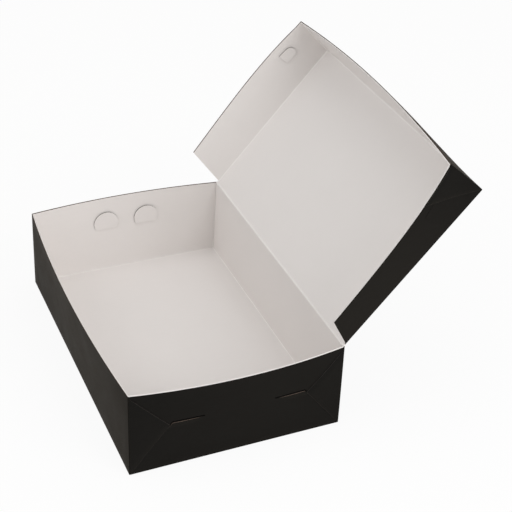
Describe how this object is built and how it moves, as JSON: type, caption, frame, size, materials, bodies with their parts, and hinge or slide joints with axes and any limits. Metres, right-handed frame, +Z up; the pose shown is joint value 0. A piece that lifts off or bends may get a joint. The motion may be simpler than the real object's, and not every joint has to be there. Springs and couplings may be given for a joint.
{
  "type": "candy box",
  "caption": "Shallow rectangular paperboard box with a hinged lid, corner gussets and tucked lock tongues, standing open; black outside and white inside, for sweets or pastries.",
  "frame": {"origin": "middle of the tray's underside", "axes": "+X along the lid's hinge, +Y from the front wall to the hinge wall, +Z up"},
  "size_m": [0.2648, 0.2691, 0.2139],
  "materials": {
    "tray_board": "matte black coated outside, uncoated white inside",
    "lid_board": "matte black coated outside, uncoated white inside"
  },
  "bodies": {
    "tray": {"tray": "tray_board"},
    "lid": {"lid": "lid_board"}
  },
  "joints": [
    {"name": "lid_hinge", "type": "hinge", "parent": "tray", "child": "lid", "pos_m": [0, 0.0822, 0.07], "axis": [1, 0, 0], "range_deg": [-49, 131]}
  ]
}
